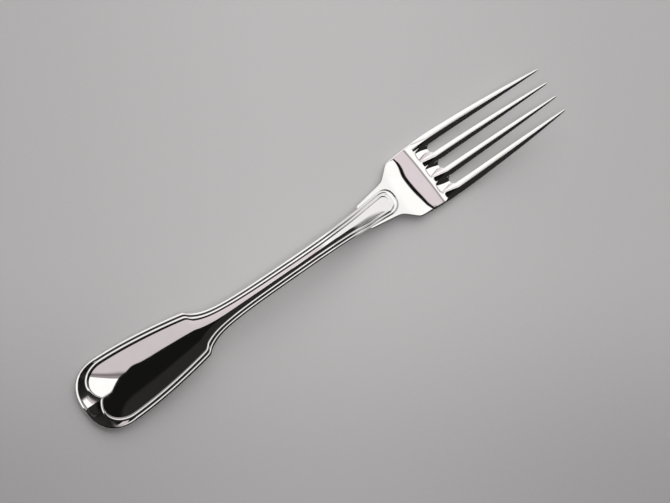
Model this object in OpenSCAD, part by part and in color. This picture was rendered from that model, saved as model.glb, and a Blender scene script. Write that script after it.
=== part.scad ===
// Dessert fork of the fiddle and thread pattern, struck from one piece of metal.
// Sizes in millimetres. X runs from the handle to the tines, Y is across, Z is up.
// The fork lies on a table with the hollow side of the tines up.

/* [Handle] */
// Length of the handle, from its round end to the shoulders
handle_len = 42.7; // [38:0.1:48]
// Width of the handle at its widest place
handle_w = 23.3; // [21:0.1:26]
// Length of the round end, from the tip to the widest place
end_len = 11.7; // [10.5:0.1:14]
// Width across the shoulders
shoulder_w = 15.8; // [13.5:0.1:18]
// Thickness of the handle at its middle line
handle_t = 2; // [1.9:0.1:2.6]
// Rise of the handle's panel from its edges to its middle line
handle_crown = 0.5; // [0.3:0.05:0.6]
// Length over which that rise grows, from the tip on
crown_len = 16; // [12:0.5:24]
// Length from the tip over which the handle keeps its thickness
even_len = 24; // [16:0.5:30]
// Roundness of the handle's back, from its middle line to its edges
handle_bulge = 0.8; // [0.4:0.05:0.85]

/* [Stem] */
// Length of the stem, from the shoulders to the start of the heel
stem_len = 62.3; // [55:0.1:72]
// Width of the stem at its waist
stem_w = 5.75; // [5.2:0.05:7]
// Thickness of the stem at its middle line
stem_t = 3.6; // [3.2:0.1:4.4]
// Length over which the shoulders run down into the stem
shoulder_sweep = 13.6; // [10:0.1:16]
// Rise of the stem's panel from its edges to its middle line
stem_crown = 0.5; // [0.3:0.05:0.7]
// Roundness of the stem's back
stem_bulge = 1.5; // [1:0.1:1.8]

/* [Threads] */
// Width of one thread along the handle
thread_w = 1.03; // [0.85:0.01:1.1]
// Width of one thread along the stem
stem_thread_w = 0.91; // [0.7:0.01:0.95]
// Height of a thread above the panel
thread_h = 0.2; // [0.12:0.01:0.25]
// Drop of the outer thread to the edge
thread_drop = 0.1; // [0.05:0.01:0.2]
// Width of the groove between the two threads
thread_gap = 0.12; // [0.08:0.01:0.2]
// Height of the field between the two threads at the round end, next to the outer thread
field_h = 0.19; // [0.15:0.01:0.2]
// Fall of that field from the outer thread to the inner one
field_fall = 0.09; // [0.05:0.01:0.15]
// Distance from the tip to the cusp of the inner thread
cusp_x = 6.9; // [6.2:0.1:7.6]
// Distance from the tip to the two lobes of the inner thread
lobe_x = 4.9; // [4.3:0.1:5.5]
// Distance of the lobes from the middle line
lobe_y = 4.5; // [3.8:0.1:5.2]
// Height of the ridge between the tip and the cusp
ridge_h = 0.3; // [0.1:0.05:0.4]
// Half the width of the ridge at its foot
ridge_w = 4.5; // [3:0.1:5]

/* [Neck] */
// Length of the neck, from the start of the heel to the corners of the head
neck_len = 15; // [13.5:0.1:18]
// Width of the heel where it starts under the stem
heel_w = 8.5; // [7.8:0.1:9.4]
// Rounding of the corners where the heel starts
heel_round = 0.6; // [0.3:0.05:0.7]
// Depth by which the heel stands below the stem
heel_drop = 0.35; // [0.2:0.05:0.6]
// Widening of the heel along its length, a side
heel_spread = 1.55; // [1:0.05:2]
// Gap from the end of the tongue to the corners of the head
tongue_gap = 3.1; // [2.4:0.05:3.6]
// Length of the round end of the tongue
tongue_end = 3.9; // [3.2:0.1:4.6]
// Widening of the tongue from the waist to its end, a side
tongue_spread = 1.3; // [0.9:0.05:1.5]
// Height of the tongue's middle above the head
tongue_step = 0.75; // [0.65:0.05:1]
// Drop of the outer thread to the edge at the end of the tongue
tongue_drop = 0.45; // [0.2:0.05:0.5]

/* [Head] */
// Length of the head, from its corners to the roots of the slots
head_len = 13.3; // [11:0.1:16]
// Width of the head at the roots of the slots
head_w = 21.5; // [20.5:0.1:23]
// Width of the head at its corners
corner_w = 20; // [18.5:0.1:20.4]
// Thickness of the head where it touches the table
head_t = 2.3; // [2.1:0.1:2.9]
// Width of the rounding along the edges of the head
edge_round = 0.3; // [0.2:0.05:0.6]
// Depth of that rounding
edge_fall = 0.12; // [0.05:0.01:0.3]
// Drop of the head's face from its middle line to its edges
head_dome = 0.2; // [0.05:0.01:0.25]
// Length over which that drop grows, from the end of the tongue on
dome_len = 8; // [5:0.5:12]
// Roundness of the back of the head
head_bulge = 0.8; // [0.4:0.05:1]

/* [Tines] */
// Length of the tines, from the roots of the slots to the tips
tine_len = 41.7; // [36:0.1:46]
// Radius of the round roots of the slots
slot_r = 1.45; // [1.4:0.05:1.7]
// Distance of the outer slots from the middle line
slot_y = 5.85; // [5.6:0.05:6.1]
// Distance of the inner tips from the middle line
inner_tip_y = 2.48; // [2.3:0.02:2.8]
// Distance of the outer tips from the middle line
outer_tip_y = 7.45; // [7:0.05:7.9]
// Width of a tine just behind its point
tip_w = 0.5; // [0.4:0.05:0.7]
// Thickness of a tine at its tip
tip_t = 0.75; // [0.6:0.05:1]
// Length of the point of a tine
point_len = 1.2; // [0.8:0.1:2]
// Length of the flutes that run from the slots onto the head
flute_len = 5.4; // [3:0.1:6]

/* [Side profile] */
// Height of the underside at the top of the stem's arch
arch_h = 8; // [6:0.1:10]
// Distance from the shoulders to the top of the arch
arch_x = 41.3; // [36:0.1:46]
// Slope of the handle at its round end, rise over run
end_slope = 0.23; // [0.18:0.01:0.26]
// Distance from the corners of the head to the place where the head touches the table
belly_x = 5; // [3:0.1:8]
// Rise of the tips above the table
tip_rise = 11.5; // [9:0.1:14]
// Slope of the tines at their tips, rise over run
tip_slope = 0.33; // [0.25:0.01:0.4]
// Depth of the two flats worn on the back where the fork touches the table
worn_flat = 0.06; // [0.02:0.01:0.1]

/* [Hidden] */
silver = [0.9, 0.89, 0.87];

// Places along the fork, from the round end of the handle
heel_at = handle_len + stem_len;
corner_at = heel_at + neck_len;
root_at = corner_at + head_len;
fork_len = root_at + tine_len;
tines_at = root_at + slot_r;
arch_at = handle_len + arch_x;
belly_at = corner_at + belly_x;
tongue_at = corner_at - tongue_gap;
round_at = tongue_at - tongue_end;
// The handle meets the stem just past the shoulders, and the heel meets the head just past the tongue
past_shoulders = 6;
past_tongue = 0.7;
stem_at = handle_len + past_shoulders;
head_at = tongue_at + past_tongue;
// The threads run straight from a little past the widest place
past_round = 0.6;
side_at = end_len + past_round;

// Fullness of the round ends: 2 is an ellipse, more is squarer
fullness = 2.4;
// Rounding of the shoulders, of the heel's root and of the head's corners
shoulder_round = 0.4;
root_round = 0.8;
corner_round = 0.5;
// Flatness of the back: 2 is an ellipse, more is flatter
back_flatness = 3;
// How late the handle narrows to its shoulders, and how fast the shoulders run down into the stem
taper_power = 1.65;
sweep_power = 3;
sweep_least = 0.2;
// Lengths past the shoulders over which the threads narrow and the panel's rise grows
thread_run = 12;
waist_len = 15;
// Rise of the tongue's panel at its end
tongue_crown = 0.1;
// How the stem's panel falls to its edges: 2 is round, 1 is a roof
ridge_power = 1.35;
// Share of the threads' height that is left at the end of the tongue
thread_fade = 0.2;
// Width of the threads at the end of the tongue, as a share of their width along its sides
tongue_rim = 1.4;
// Length before the heel over which the stem begins to thicken into the tongue
tongue_run = 6;
// The back turns rounder from this far before the shoulders, over this length
bulge_start = 5;
bulge_len = 20;
// Roundness of the heel's back where it starts
heel_bulge = 1.2;
// Length of the heel's root, where it turns out into the head
heel_root = 4.2;
// How late the head widens, how late the face thins and how sharp the cusp is
face_power = 2.2;
thin_power = 1.2;
cusp_power = 2.2;
// Share of the round end taken by the cusp, from its middle line to a lobe
lobe_share = 0.27;
// Width of the gap between the threads, in grooves, over which the field reaches its height
field_grow = 16;
// The middle of the inner thread lies this many threads, and a groove, from the edge
inner_mid = 1.5;
// Distances from the cusp to the start of the panel's middle line, and from the tongue's end to its end
cusp_mid = 1;
tongue_mid = 3;
// Rounding of a tine's top and of its back, as shares of its half width
tine_round = 0.42;
tine_lift = 0.4;
// Sharpness of a flute's brim where the flute starts, and how late the flute deepens
flute_brim = 5;
flute_power = 1.5;
// How close to a slot the rows of points on the head begin to bend round its root
bay_power = 5;
// Evenness of a tine's taper, and how late it bends to its tip
tine_even = 0.52;
tine_bend = 1.4;
// Half the gap between the two rows of points on either side of the heel's front
row_gap = 0.4;
// Reach along the edge over which its lean is taken, and along the face over which its slope is
lean_reach = 0.8;
slope_reach = 0.01;
// Step at which the lowest place of the round end is looked for
low_step = 0.1;
// Numbers of rows of points: round end, handle, shoulders, tongue's end, tongue, stem, waist, head, heel
end_count = 14;
handle_count = 9;
shoulder_count = 9;
fan_count = 9;
tongue_count = 4;
stem_count = 13;
waist_count = 6;
head_count = 12;
heel_count = 10;
// Lengths before the shoulders and along the waist that take the closer rows
shoulder_rows = 3;
waist_rows = 10;
// How much closer the rows of the head lie towards the tines
head_crowd = 1.4;

function mix(a, b, f) = a + (b - a) * f;
function ease(f) = let (c = min(max(f, 0), 1)) c * c * (3 - 2 * c);
function soft_min(a, b, k) = (a + b - sqrt((a - b) ^ 2 + k ^ 2)) / 2;
function soft_max(a, b, k) = (a + b + sqrt((a - b) ^ 2 + k ^ 2)) / 2;
function steps(a, b, n) = [for (i = [0 : n - 1]) mix(a, b, i / n)];
function unit(v) = v / norm(v);
// A cubic between two knots, each given as place, height and slope
function cubic(a, b, x) =
    let (h = b[0] - a[0], f = (x - a[0]) / h)
    a[1] * (1 + 2 * f) * (1 - f) ^ 2 + a[2] * h * f * (1 - f) ^ 2
    + b[1] * (3 - 2 * f) * f ^ 2 - b[2] * h * (1 - f) * f ^ 2;
// How far an arched top has fallen at a share q of its half width
function arch_fall(q) = 1 - sqrt(max(0, 1 - q * q));
// How far the back has risen at a share q of its half width
function back_rise(q) = 1 - sqrt(max(0, 1 - q ^ back_flatness));

// Half widths of the handle, the stem and the tongue
function taper(x) =
    let (f = min(max((x - end_len) / (handle_len - end_len), 0), 1))
    mix(handle_w / 2, shoulder_w / 2, f ^ taper_power);
function sweep(x) =
    let (f = max(1 + (x - handle_len) / shoulder_sweep, sweep_least))
    mix(stem_w / 2, shoulder_w / 2, 1 / f ^ sweep_power);
function spread(x) = tongue_spread * max(0, (x - arch_at) / (round_at - arch_at)) ^ 2;
function stem_half(x) = soft_min(taper(x), sweep(x), shoulder_round) + spread(x);
function stem_lean(x) = (stem_half(x + lean_reach) - stem_half(x - lean_reach)) / (2 * lean_reach);
function thread_at(x) = mix(thread_w, stem_thread_w, ease((x - handle_len) / thread_run));

// Half width of the heel and the head
function heel_half(x) =
    let (f = max(0, 1 - (x - heel_at) / heel_round))
    heel_w / 2 + heel_spread * (x - heel_at) / (neck_len - heel_root) - heel_round * arch_fall(f);
function flank_half(x) = corner_w / 2 + (x - corner_at);
function face_half(x) =
    let (f = (tines_at - x) / (tines_at - corner_at))
    mix(head_w / 2, corner_w / 2, max(f, 0) ^ face_power);
function head_half(x) =
    soft_min(soft_max(heel_half(x), flank_half(x), root_round), face_half(x), corner_round);

// Lowest place of the round end above the start of the underside, which sets the handle on the table
end_low = min([for (x = [0 : low_step : end_len])
    end_slope * x + handle_bulge * back_rise((end_len - x) / end_len)]);
// Height of the underside along the middle line, before the flats are worn on it
under_knots = [
    [0, -end_low - worn_flat, end_slope],
    [arch_at, arch_h, 0],
    [belly_at, -worn_flat, 0],
    [fork_len, tip_rise, tip_slope]
];
function worn(z) = max(0, z);
function under(x) =
    x < arch_at ? cubic(under_knots[0], under_knots[1], x) :
    x < belly_at ? cubic(under_knots[1], under_knots[2], x) :
    cubic(under_knots[2], under_knots[3], x);

// Thickness along the middle line
function face_t(x) = mix(head_t, tip_t, max(0, (x - belly_at) / (fork_len - belly_at)) ^ thin_power);
tongue_t = face_t(tongue_at) + tongue_step;
function stem_thick(x) =
    x < arch_at ? mix(handle_t, stem_t, ease((x - even_len) / (arch_at - even_len))) :
    mix(stem_t, tongue_t, ease((x - heel_at + tongue_run) / (tongue_at - heel_at + tongue_run)));
function along_tongue(x) = ease((x - heel_at) / (tongue_at - heel_at));
function along_waist(x) = ease((x - handle_len) / waist_len);
function crown(x) =
    x < handle_len ? handle_crown * ease(x / crown_len) :
    x < arch_at ? mix(handle_crown, stem_crown, along_waist(x)) :
    mix(stem_crown, tongue_crown, along_tongue(x));
function crown_power(x) = mix(2, ridge_power, along_waist(x) * (1 - along_tongue(x)));
function bulge(x) = mix(handle_bulge, stem_bulge, ease((x - handle_len + bulge_start) / bulge_len));

// The face of the head, and the flat seat on which the tongue lies
function face(x) = under(x) + face_t(x);
seat_slope = (face(tongue_at + slope_reach) - face(tongue_at - slope_reach)) / (2 * slope_reach);
function seat(x) = face(tongue_at) + seat_slope * (x - tongue_at);
function head_top(x) = x < tongue_at ? seat(x) : face(x);

// Share of the way from the middle line or the middle of a round end to the edge
function round_share(u, v) = min(1, (max(u, 0) ^ fullness + abs(v) ^ fullness) ^ (1 / fullness));
function edge_share(x, y) =
    x < end_len ? round_share((end_len - x) / end_len, y / (handle_w / 2)) :
    x > round_at ? round_share((x - round_at) / tongue_end, y / stem_half(round_at)) :
    min(1, abs(y) / stem_half(x));
function panel_top(x, y) =
    let (share = min(1, abs(y) / stem_half(x)))
    under(x) + stem_thick(x) - crown(x) * share ^ crown_power(x);
function panel_back(x, y) = under(x) + bulge(x) * back_rise(edge_share(x, y));

// Plan of one row of points: from the edge p over the outer thread to the inner thread q, then to c
outer_shares = [0, 0.08, 0.25, 0.5, 0.75, 1];
field_shares = [1 / 3, 2 / 3, 1];
inner_shares = [-0.25, 0, 0.25, 0.5];
panel_shares = [0.25, 0.5, 0.75, 1];
function fade(x) = mix(1, thread_fade, along_tongue(x));
function outer_rise(x, f, field, drop) =
    f < 0.5 ?
        let (r = sqrt(1 - (1 - 2 * f) ^ 2))
        thread_h * r * fade(x) - drop * (1 - r) :
    mix(thread_h, field, (2 * f - 1) ^ 2) * fade(x);
function ridge(x, y, f) = x > end_len ? 0 : ridge_h * max(0, 1 - y / ridge_w) ^ 2 * 4 * f * (1 - f);
function plan_row(p, q, c, b, drop) =
    let (width = norm(q - p) - inner_mid * b, in = unit(q - p), on = unit(c - q), foot = q + on * b / 2)
    let (grow = ease((width / thread_gap - 1) / field_grow))
    let (high = field_h * grow, low = max(high - field_fall, 0))
    concat(
        [for (f = outer_shares) let (k = p + in * b * f) [k.x, k.y, outer_rise(k.x, f, high, drop)]],
        [for (f = field_shares)
            let (k = p + in * (b + f * width))
            [k.x, k.y, (mix(high, low, f) + ridge(k.x, k.y, f)) * fade(k.x)]],
        [for (f = inner_shares)
            let (k = q + (f < 0 ? in : on) * b * f)
            [k.x, k.y, mix(thread_h, f < 0 ? low : 0, 4 * f * f) * fade(k.x)]],
        [for (f = panel_shares) let (k = mix(foot, c, f)) [k.x, k.y, 0]]
    );
function side_row(x) =
    let (b = thread_at(x) * sqrt(1 + stem_lean(x) ^ 2), w = stem_half(x))
    plan_row([x, w], [x, w - inner_mid * b - thread_gap], [x, 0], b, thread_drop);

// Rows round the end of the handle, where the inner thread leaves the edge in two lobes and a cusp
function end_edge(a) = [
    end_len * (1 - cos(a) ^ (2 / fullness)),
    handle_w / 2 * sin(a) ^ (2 / fullness)
];
function lobe(f) =
    let (side = [side_at, handle_w / 2 - inner_mid * thread_w - thread_gap])
    f < lobe_share ?
        let (y = lobe_y * f / lobe_share)
        [mix(lobe_x, cusp_x, (1 - y / lobe_y) ^ cusp_power), y] :
        let (a = 90 * (f - lobe_share) / (1 - lobe_share))
        [mix(side.x, lobe_x, cos(a)), mix(lobe_y, side.y, sin(a))];
function end_row(f) =
    plan_row(end_edge(90 * f), lobe(f), [mix(cusp_x + cusp_mid, end_len, f), 0], thread_w, thread_drop);

// Rows round the end of the tongue
function tongue_row(f) =
    let (w = stem_half(round_at), k = 2 / fullness)
    let (s = sin(90 * f) ^ k, c = cos(90 * f) ^ k)
    let (b = thread_at(round_at) * mix(1, tongue_rim, c), inset = inner_mid * b + thread_gap)
    plan_row(
        [round_at + tongue_end * c, w * s],
        [round_at + (tongue_end - inset) * c, (w - inset) * s],
        [round_at + (tongue_end - tongue_mid) * c, 0],
        b,
        mix(thread_drop, tongue_drop, c)
    );

function on_top(row) = [for (k = row) [k.x, k.y, panel_top(k.x, k.y) + k.z]];
function on_back(row) = [for (k = row) [k.x, k.y, worn(panel_back(k.x, k.y))]];
function on_seat(row) = [for (k = row) [k.x, k.y, seat(k.x)]];

// Rows of the handle, from its round end to the stem
handle_rows = concat(
    [for (f = steps(0, 1, end_count)) end_row(f)],
    [for (x = steps(side_at, handle_len - shoulder_rows, handle_count)) side_row(x)],
    [for (x = steps(handle_len - shoulder_rows, stem_at, shoulder_count)) side_row(x)],
    [side_row(stem_at)]
);
// Rows of the stem, from the end of the tongue back to the handle
tongue_fan = [for (f = steps(0, 1, fan_count)) tongue_row(f)];
tongue_rows = [for (x = steps(round_at, heel_at + row_gap, tongue_count)) side_row(x)];
stem_rows = concat(
    [for (x = steps(heel_at - row_gap, stem_at + waist_rows, stem_count)) side_row(x)],
    [for (x = steps(stem_at + waist_rows, stem_at, waist_count)) side_row(x)],
    [side_row(stem_at)]
);
stem_back_rows = concat([side_row(heel_at)], [for (i = [1 : len(stem_rows) - 1]) stem_rows[i]]);

// Columns of the head: the shares across each tine, then across each slot
tine_shares = [-1, -0.85, -0.5, 0, 0.5, 0.85, 1];
slot_angles = [-60, -30, 0, 30, 60];
tine_roots = [
    [-head_w / 2, -slot_y - slot_r],
    [-slot_y + slot_r, -slot_r],
    [slot_r, slot_y - slot_r],
    [slot_y + slot_r, head_w / 2]
];
slot_mids = [-slot_y, 0, slot_y];
// Each column ends at a place x and y, and q is its share of the tine's half width
head_columns = [for (i = [0 : 3])
    each concat(
        [for (q = tine_shares) let (r = tine_roots[i])
            [tines_at, mix(r[0], r[1], (q + 1) / 2), q]],
        i == 3 ? [] : [for (a = slot_angles)
            [tines_at - slot_r * cos(a), slot_mids[i] + slot_r * sin(a), 1]]
    )
];
function edge_drop(x, y) = edge_fall * arch_fall(1 - min(1, (head_half(x) - abs(y)) / edge_round));
function dome(x, y) = head_dome * (y / head_half(x)) ^ 2 * ease((x - tongue_at) / dome_len);
root_half = (tine_roots[3][1] - tine_roots[3][0]) / 2;
head_rows = [for (i = [0 : head_count]) 1 - (1 - i / head_count) ^ head_crowd];
function head_point(col, f) =
    let (x = mix(head_at, tines_at, f) - (tines_at - col.x) * f ^ bay_power)
    let (y = col.y * head_half(x) / head_half(col.x))
    let (flute = max(0, (f - 1) * (tines_at - head_at) / flute_len + 1) ^ flute_power)
    let (dip = tine_round * root_half * abs(col.z) ^ (2 + flute_brim * (1 - flute)) * flute)
    let (plain = head_bulge * back_rise(abs(y) / head_half(x)))
    let (tined = tine_lift * root_half * arch_fall(col.z))
    [x, y, max(dip, edge_drop(x, y)) + dome(x, y), mix(plain, tined, flute)];
head_net = [for (f = head_rows) [for (col = head_columns) head_point(col, f)]];
head_tops = [for (r = head_net) [for (k = r) [k.x, k.y, head_top(k.x) - k.z]]];
head_backs = [for (r = head_net) [for (k = r) [k.x, k.y, worn(under(k.x) + k[3])]]];

// The heel, which carries the tongue and widens into the head. Its columns match those of the head.
heel_rows = concat(
    [for (f = [0, 0.15, 0.5]) heel_at + heel_round * f],
    steps(heel_at + heel_round, head_at, heel_count)
);
function heel_point(y_share, x) =
    let (w = head_half(x), y = w * y_share)
    let (f = (x - heel_at) / (head_at - heel_at))
    let (rise = mix(heel_bulge, head_bulge, f) * back_rise(abs(y_share)))
    [x, y, edge_drop(x, y) + dome(x, y), rise - heel_drop * (1 - ease(f))];
heel_net = [for (x = concat(heel_rows, [head_at]))
    [for (col = head_columns) heel_point(col.y / head_half(col.x), x)]];
heel_tops = [for (r = heel_net) [for (k = r) [k.x, k.y, head_top(k.x) - k.z]]];
heel_backs = [for (r = heel_net) [for (k = r) [k.x, k.y, worn(under(k.x) + k[3])]]];

// One tine, from the flat across its root to its point
tine_steps = [0, 0.07, 0.14, 0.22, 0.3, 0.38, 0.46, 0.54, 0.62, 0.7, 0.78, 0.86, 0.93];
point_steps = [0, 0.35, 0.65, 0.85, 0.97];
function tine_half(root, f) = mix(root, tip_w / 2, mix(f ^ 3, f, tine_even));
function tine_mid(root, tip, f) = mix(root, tip, f ^ tine_bend);
function tine_row(i, x) =
    let (r = tine_roots[i], tip = (i % 3 == 0 ? outer_tip_y : inner_tip_y) * sign(i - 1.5))
    let (f = (x - tines_at) / (fork_len - tines_at), p = max(0, 1 - (fork_len - x) / point_len))
    let (h = tine_half((r[1] - r[0]) / 2, f) * sqrt(1 - p * p))
    let (rise = tine_half(root_half, f), mid = tine_mid((r[0] + r[1]) / 2, tip, f))
    [for (q = tine_shares) let (y = mid + h * q)
        [x, y, tine_round * rise * q ^ 2 + dome(x, y), tine_lift * rise * arch_fall(q)]];
function tine_net(i) = concat(
    [for (f = tine_steps) tine_row(i, mix(tines_at, fork_len - point_len, f))],
    [for (f = point_steps) tine_row(i, fork_len - point_len * (1 - f))]
);

// A closed solid from a top and a back net. Row 0 lies on the middle line at the round end,
// column 0 is the edge, the last column is the middle line and the last row is flat.
module round_ended(tops, backs, turned) {
    n = len(tops) - 1;
    m = len(tops[0]) - 1;
    count = (2 * n + 1) * m + n + 1;
    function mirrored(net) = concat(
        [for (i = [-n : n]) for (j = [0 : m - 1])
            let (k = net[abs(i)][j]) [k.x, i < 0 ? -k.y : k.y, k.z]],
        [for (i = [0 : n]) net[i][m]]
    );
    function at(i, j) = j < m ? (i + n) * m + j : (2 * n + 1) * m + abs(i);
    quads = concat(
        [for (i = [-n : n - 1]) for (j = [0 : m - 1])
            [at(i, j), at(i + 1, j), at(i + 1, j + 1), at(i, j + 1)]],
        [for (i = [-n : n - 1]) for (j = [0 : m - 1])
            [for (k = [at(i, j + 1), at(i + 1, j + 1), at(i + 1, j), at(i, j)]) k + count]],
        [for (i = [-n : n - 1]) [at(i + 1, 0), at(i, 0), at(i, 0) + count, at(i + 1, 0) + count]],
        [for (j = [0 : m - 1]) [at(n, j + 1), at(n, j), at(n, j) + count, at(n, j + 1) + count]],
        [for (j = [0 : m - 1]) [at(-n, j), at(-n, j + 1), at(-n, j + 1) + count, at(-n, j) + count]]
    );
    closed_mesh(concat(mirrored(tops), mirrored(backs)), quads, turned);
}

// A closed solid from a top and a back net, flat at both ends. Rows run along X, columns along Y.
module flat_ended(tops, backs) {
    n = len(tops) - 1;
    m = len(tops[0]) - 1;
    count = (n + 1) * (m + 1);
    function at(i, j) = i * (m + 1) + j;
    quads = concat(
        [for (i = [0 : n - 1]) for (j = [0 : m - 1])
            [at(i, j), at(i, j + 1), at(i + 1, j + 1), at(i + 1, j)]],
        [for (i = [0 : n - 1]) for (j = [0 : m - 1])
            [for (k = [at(i + 1, j), at(i + 1, j + 1), at(i, j + 1), at(i, j)]) k + count]],
        [for (i = [0 : n - 1]) [at(i, 0), at(i + 1, 0), at(i + 1, 0) + count, at(i, 0) + count]],
        [for (i = [0 : n - 1]) [at(i + 1, m), at(i, m), at(i, m) + count, at(i + 1, m) + count]],
        [for (j = [0 : m - 1]) [at(0, j + 1), at(0, j), at(0, j) + count, at(0, j + 1) + count]],
        [for (j = [0 : m - 1]) [at(n, j), at(n, j + 1), at(n, j + 1) + count, at(n, j) + count]]
    );
    points = [for (net = [tops, backs]) for (row = net) for (k = row) k];
    closed_mesh(points, quads, false);
}

// Draws the four-cornered faces as two triangles each, with the middle of the fork at the origin
module closed_mesh(points, quads, turned) {
    faces = [for (k = quads)
        each turned ?
            [[k[2], k[1], k[0]], [k[3], k[2], k[0]]] :
            [[k[0], k[1], k[2]], [k[0], k[2], k[3]]]
    ];
    translate([-fork_len / 2, 0, 0])
        polyhedron(points, faces);
}

module handle() {
    color(silver)
        round_ended(
            [for (r = handle_rows) on_top(r)],
            [for (r = handle_rows) on_back(r)],
            false
        );
}

module stem() {
    color(silver)
        round_ended(
            [for (r = concat(tongue_fan, tongue_rows, [side_row(heel_at + row_gap)], stem_rows)) on_top(r)],
            concat(
                [for (r = concat(tongue_fan, tongue_rows, [side_row(heel_at)])) on_seat(r)],
                [for (r = stem_back_rows) on_back(r)]
            ),
            true
        );
}

module heel() {
    color(silver)
        flat_ended(heel_tops, heel_backs);
}

module head() {
    color(silver)
        flat_ended(head_tops, head_backs);
}

module tine(i) {
    net = tine_net(i);
    color(silver)
        flat_ended(
            [for (r = net) [for (k = r) [k.x, k.y, head_top(k.x) - k.z]]],
            [for (r = net) [for (k = r) [k.x, k.y, under(k.x) + k[3]]]]
        );
}

module tine_1() tine(0);
module tine_2() tine(1);
module tine_3() tine(2);
module tine_4() tine(3);

handle();
stem();
heel();
head();
tine_1();
tine_2();
tine_3();
tine_4();
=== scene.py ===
"""Dessert fork of the fiddle and thread pattern in polished silver, on a plain pale table."""

import math

import bpy
import numpy as np
from mathutils import Matrix, Vector


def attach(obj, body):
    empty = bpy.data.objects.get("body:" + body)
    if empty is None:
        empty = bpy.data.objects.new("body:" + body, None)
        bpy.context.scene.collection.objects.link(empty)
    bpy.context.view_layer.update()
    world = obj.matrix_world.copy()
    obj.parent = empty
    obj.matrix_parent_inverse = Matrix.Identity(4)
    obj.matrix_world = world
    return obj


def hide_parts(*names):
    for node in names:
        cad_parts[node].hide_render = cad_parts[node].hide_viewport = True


MM = 0.001
QUARTER_TURN = math.pi / 2

# Sizes of the fork in millimetres, as in the CAD. First the handle
HANDLE_LEN = 42.7  # from its round end to the shoulders
HANDLE_W = 23.3
END_LEN = 11.7  # round end, from the tip to the widest place
SHOULDER_W = 15.8
TAPER_POWER = 1.65  # how late the handle narrows to its shoulders
HANDLE_T = 2.0
EVEN_LEN = 24.0  # keeps its thickness this far from the tip
HANDLE_CROWN = 0.5  # rise of the panel from its edges to its middle line
CROWN_LEN = 16.0  # length over which that rise grows
PANEL_POWER = 2.0  # how the panel falls to its edges: 2 is round, 1 is a roof
HANDLE_BULGE = 0.8  # roundness of the back
FULLNESS = 2.4  # of the round ends: 2 is an ellipse, more is squarer
BACK_FLATNESS = 3.0  # 2 is an ellipse, more is flatter

# Stem
STEM_LEN = 62.3  # from the shoulders to the start of the heel
STEM_W = 5.75
STEM_T = 3.6
SHOULDER_SWEEP = 13.6  # length over which the shoulders run down into the stem
SWEEP_POWER = 3.0
SWEEP_LEAST = 0.2
SHOULDER_ROUND = 0.4
STEM_CROWN = 0.5
WAIST_LEN = 15.0  # length past the shoulders over which the panel takes the stem's form
RIDGE_POWER = 1.35
STEM_BULGE = 1.5
BULGE_START = 5.0  # the back turns rounder from this far before the shoulders
BULGE_LEN = 20.0

# Threads, and the field between them at the round end
THREAD_W = 1.03
STEM_THREAD_W = 0.91
THREAD_RUN = 12.0  # length past the shoulders over which the threads narrow
THREAD_H = 0.2
THREAD_DROP = 0.1  # of the outer thread to the edge
THREAD_GAP = 0.12
THREAD_FADE = 0.2  # share of the height that is left at the end of the tongue
INNER_MID = 1.5  # threads from the edge to the middle of the inner one, besides the gap
FIELD_H = 0.19
FIELD_FALL = 0.09
FIELD_GROW = 16.0  # width of the field, in gaps, over which it reaches its height
CUSP_X = 6.9
CUSP_POWER = 2.2
CUSP_MID = 1.0  # from the cusp to the start of the panel's middle line
LOBE_X = 4.9
LOBE_Y = 4.5
LOBE_SHARE = 0.27  # of the round end, from its middle line to a lobe
RIDGE_H = 0.3  # of the ridge between the tip and the cusp
RIDGE_W = 4.5
PAST_ROUND = 0.6  # rows of points run straight across from this far past the widest place

# Neck: the heel and the tongue that laps onto it
NECK_LEN = 15.0
HEEL_W = 8.5
HEEL_ROUND = 0.6
HEEL_DROP = 0.35
HEEL_SPREAD = 1.55
HEEL_ROOT = 4.2  # length where the heel turns out into the head
HEEL_BULGE = 1.2
ROOT_ROUND = 0.8
TONGUE_GAP = 3.1  # from the end of the tongue to the corners of the head
TONGUE_END = 3.9
TONGUE_MID = 3.0  # from the end of the tongue to the end of its middle line
TONGUE_SPREAD = 1.3
TONGUE_STEP = 0.75
TONGUE_CROWN = 0.1
TONGUE_DROP = 0.45
TONGUE_RIM = 1.4  # width of the threads at the tongue's end, as a share of that at its sides
TONGUE_RUN = 6.0  # length before the heel over which the stem begins to thicken

# Head
HEAD_LEN = 13.3
HEAD_W = 21.5
CORNER_W = 20.0
CORNER_ROUND = 0.5
FACE_POWER = 2.2  # how late the head widens
HEAD_T = 2.3
THIN_POWER = 1.2  # how late the face thins towards the tips
EDGE_ROUND = 0.3
EDGE_FALL = 0.12
HEAD_DOME = 0.2  # drop of the face from its middle line to its edges
DOME_LEN = 8.0
HEAD_BULGE = 0.8

# Tines, with the flutes that run from the slots onto the head
TINE_LEN = 41.7
SLOT_R = 1.45
SLOT_Y = 5.85
BAY_POWER = 5.0  # how close to a slot the rows of points begin to bend round its root
FLUTE_LEN = 5.4
FLUTE_BRIM = 5.0
TINE_FALL = 0.42  # rounding of the top and of the back, as shares of the half width
TINE_LIFT = 0.4
TINE_EVEN = 0.52  # evenness of the taper
TINE_POWER = 3.0
TINE_BEND = 1.4  # how late a tine bends to its tip
INNER_TIP_Y = 2.48
OUTER_TIP_Y = 7.45
TIP_W = 0.5
TIP_T = 0.75
POINT_LEN = 1.2
POINT_TURN = 1.5  # the round of the point, in radians, stops just short of its tip

# Side profile
ARCH_H = 8.0
ARCH_X = 41.3
END_SLOPE = 0.23
BELLY_X = 5.0
TIP_RISE = 11.5
TIP_SLOPE = 0.33
WORN_FLAT = 0.06  # depth of the flats worn where the fork touches the table

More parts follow.
